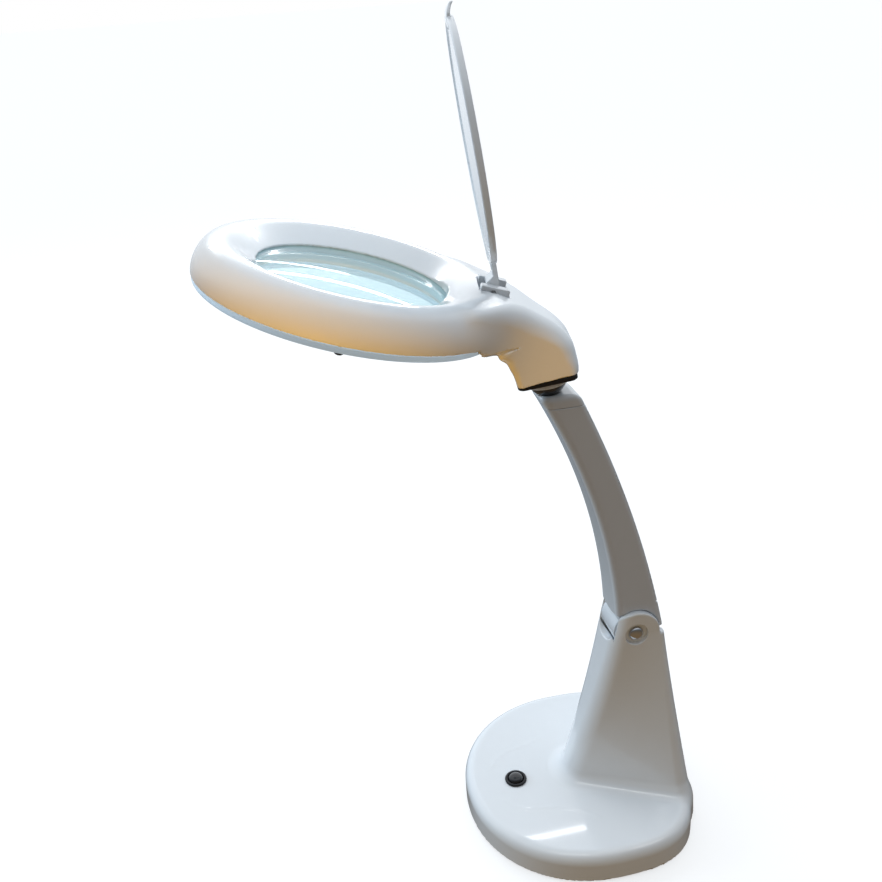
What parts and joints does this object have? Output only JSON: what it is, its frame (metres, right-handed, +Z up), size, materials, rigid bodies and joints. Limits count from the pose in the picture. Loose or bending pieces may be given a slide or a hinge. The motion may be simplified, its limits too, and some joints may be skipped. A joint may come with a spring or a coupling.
{
  "type": "magnifying lamp",
  "caption": "White table-top magnifying lamp with an oval weighted base, a curved hinged arm, a ball-jointed ring head around a round lens, and a flip-up lens cover.",
  "frame": {"origin": "on the resting plane, under the centre of the base at the width's middle", "axes": "+Z up, -Y towards the lens head and the user, +X to the user's left of the lamp as seen from behind it (the chrome bolt head is on the +X side)"},
  "size_m": [0.1756, 0.2607, 0.4952],
  "materials": {
    "white_abs": "gloss",
    "lid_white": "gloss",
    "black_plastic": "gloss",
    "rubber_black": "matte",
    "lens_glass": "gloss",
    "diffuser": "satin",
    "tube_glass": "gloss",
    "chrome": "polished",
    "steel": "satin",
    "cast_iron": "matte",
    "pcb": "satin",
    "component": "satin",
    "nylon": "satin",
    "brass": "satin",
    "reflector_white": "gloss",
    "cable": "matte"
  },
  "bodies": {
    "base": {"base_shell": "white_abs", "base_pad": "rubber_black", "base_bottom_plate": "white_abs", "base_screw_1": "steel", "base_screw_2": "steel", "base_screw_3": "steel", "base_screw_4": "steel", "base_weight": "cast_iron", "power_socket": "black_plastic", "ballast_board": "pcb", "ballast_choke": "component", "ballast_capacitor": "component", "lamp_terminal": "nylon", "switch_body": "black_plastic", "switch_nut": "steel", "pivot_bolt": "chrome", "pivot_nut": "chrome", "friction_washer_right": "nylon", "friction_washer_left": "nylon"},
    "switch": {"switch_button": "black_plastic"},
    "arm": {"arm_shell": "white_abs", "arm_rear_cover": "white_abs", "arm_core": "steel", "arm_cable": "cable", "pivot_bush": "brass", "arm_top_cap": "white_abs", "ball": "black_plastic", "ball_stem": "steel", "stem_nut": "brass"},
    "ball_liner": {"ball_liner": "nylon"},
    "socket_cup": {"socket_cup": "brass"},
    "head": {"socket_ring": "white_abs", "neck_plate": "black_plastic", "plate_screw_1": "steel", "plate_screw_2": "steel", "plate_screw_3": "steel", "plate_screw_4": "steel", "socket_housing": "steel", "socket_spring": "steel", "head_upper_shell": "white_abs", "lens": "lens_glass", "lens_retaining_ring": "white_abs", "head_reflector": "reflector_white", "ring_tube": "tube_glass", "tube_socket": "reflector_white", "tube_clip_1": "steel", "tube_clip_2": "steel", "tube_clip_3": "steel", "diffuser": "diffuser", "diffuser_screw_1": "black_plastic", "diffuser_screw_2": "black_plastic", "diffuser_screw_3": "black_plastic", "hinge_block": "white_abs", "hinge_pin": "steel", "head_lead": "cable"},
    "lid": {"lid": "lid_white"}
  },
  "joints": [
    {"name": "arm_pivot", "type": "hinge", "parent": "base", "child": "arm", "pos_m": [0, 0.03036, 0.13334], "axis": [1, 0, 0], "range_deg": [-3, 30]},
    {"name": "switch_press", "type": "slide", "parent": "base", "child": "switch", "axis": [0, 0, -1], "range_m": [0, 0.0022], "stiffness_N_per_m": 300},
    {"name": "head_roll", "type": "hinge", "parent": "arm", "child": "ball_liner", "pos_m": [0, -0.01905, 0.30525], "axis": [0.171, 0.9739, 0.1489], "range_deg": [-8, 8]},
    {"name": "head_tilt", "type": "hinge", "parent": "ball_liner", "child": "socket_cup", "pos_m": [0, -0.01905, 0.30525], "axis": [0.9849, -0.173, 0], "range_deg": [-15, 19]},
    {"name": "head_swivel", "type": "hinge", "parent": "socket_cup", "child": "head", "pos_m": [0, -0.01905, 0.30525], "axis": [-0.0258, -0.1467, 0.9889], "range_deg": [-80, 100]},
    {"name": "lid_hinge", "type": "hinge", "parent": "head", "child": "lid", "pos_m": [-0.00485, -0.04663, 0.35779], "axis": [0.9849, -0.173, 0], "range_deg": [-25, 66]}
  ]
}
